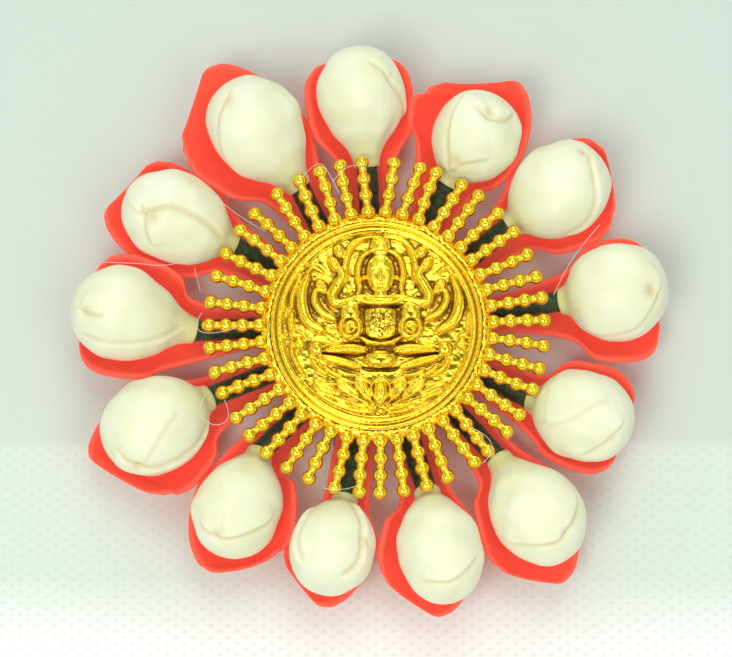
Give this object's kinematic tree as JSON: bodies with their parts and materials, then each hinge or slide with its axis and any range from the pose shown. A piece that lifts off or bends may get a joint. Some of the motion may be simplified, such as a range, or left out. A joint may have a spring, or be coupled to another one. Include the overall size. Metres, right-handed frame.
{
  "type": "hair bun brooch",
  "caption": "Round hair bun brooch: a cast gold medallion with a seated figure in relief and beaded sunrays, in a wreath of cream flower buds on coral foam petals, with a forked hair pin.",
  "frame": {"origin": "middle of the flat back of the hair pin's plate, which the brooch lies on", "axes": "+Z out of the face of the medal, +Y the top of the medal, the pin's prongs run along -Y"},
  "size_m": [0.0901, 0.0868, 0.0181],
  "materials": {
    "gold_cast": "polished cast gilt",
    "pin_steel": "satin",
    "bud_cream": "smooth waxy petals",
    "stem_green": "wound green thread",
    "petal_coral": "matte foam"
  },
  "bodies": {
    "root": {"medallion": "gold_cast", "ray_ring": "gold_cast", "hair_pin": "pin_steel", "bud_01": "bud_cream", "bud_02": "bud_cream", "bud_03": "bud_cream", "bud_04": "bud_cream", "bud_05": "bud_cream", "bud_06": "bud_cream", "bud_07": "bud_cream", "bud_08": "bud_cream", "bud_09": "bud_cream", "bud_10": "bud_cream", "bud_11": "bud_cream", "bud_12": "bud_cream", "bud_13": "bud_cream", "stem_01": "stem_green", "stem_02": "stem_green", "stem_03": "stem_green", "stem_04": "stem_green", "stem_05": "stem_green", "stem_06": "stem_green", "stem_07": "stem_green", "stem_08": "stem_green", "stem_09": "stem_green", "stem_10": "stem_green", "stem_11": "stem_green", "stem_12": "stem_green", "stem_13": "stem_green", "petal_01": "petal_coral", "petal_02": "petal_coral", "petal_03": "petal_coral", "petal_04": "petal_coral", "petal_05": "petal_coral", "petal_06": "petal_coral", "petal_07": "petal_coral", "petal_08": "petal_coral", "petal_09": "petal_coral", "petal_10": "petal_coral", "petal_11": "petal_coral", "petal_12": "petal_coral", "petal_13": "petal_coral"}
  },
  "joints": []
}
